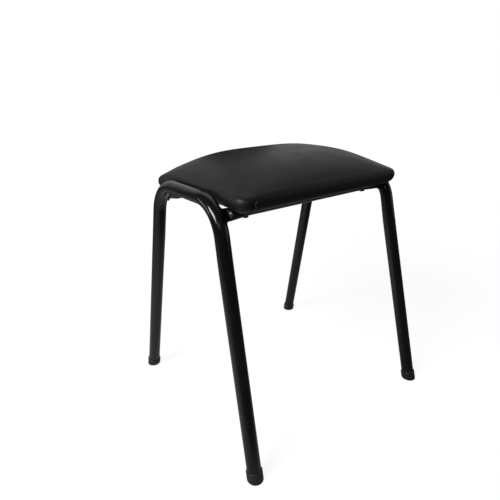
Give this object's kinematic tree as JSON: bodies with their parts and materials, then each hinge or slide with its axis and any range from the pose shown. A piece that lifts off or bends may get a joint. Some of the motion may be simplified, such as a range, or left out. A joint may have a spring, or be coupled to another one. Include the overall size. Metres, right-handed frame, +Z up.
{
  "type": "stacking stool",
  "caption": "Backless stacking stool: splayed bent-tube steel end frames joined by rails under a crowned, vinyl-covered rectangular seat, on soft plastic foot caps.",
  "frame": {"origin": "on the floor, under the middle of the seat", "axes": "+Z up; X along the seat's long side and through both end frames; -Y towards the front"},
  "size_m": [0.4104, 0.3884, 0.4511],
  "materials": {
    "powder_coat": "gloss",
    "vinyl": "satin, fine grain",
    "foam": "matt, open cell",
    "plywood": "sanded, bare",
    "lining": "satin",
    "screw": "black oxide",
    "zinc_steel": "zinc plated",
    "foot_plastic": "semi-matt"
  },
  "bodies": {
    "root": {"left_end_frame": "powder_coat", "right_end_frame": "powder_coat", "front_rail": "powder_coat", "rear_rail": "powder_coat", "weld_front_left": "powder_coat", "weld_front_right": "powder_coat", "weld_rear_left": "powder_coat", "weld_rear_right": "powder_coat", "seat_cover": "vinyl", "seat_foam": "foam", "seat_board": "plywood", "seat_lining": "lining", "seat_screw_front_left": "screw", "seat_screw_front_right": "screw", "seat_screw_rear_left": "screw", "seat_screw_rear_right": "screw", "tee_nut_front_left": "zinc_steel", "tee_nut_front_right": "zinc_steel", "tee_nut_rear_left": "zinc_steel", "tee_nut_rear_right": "zinc_steel", "foot_cap_front_left": "foot_plastic", "foot_cap_front_right": "foot_plastic", "foot_cap_rear_left": "foot_plastic", "foot_cap_rear_right": "foot_plastic"}
  },
  "joints": []
}
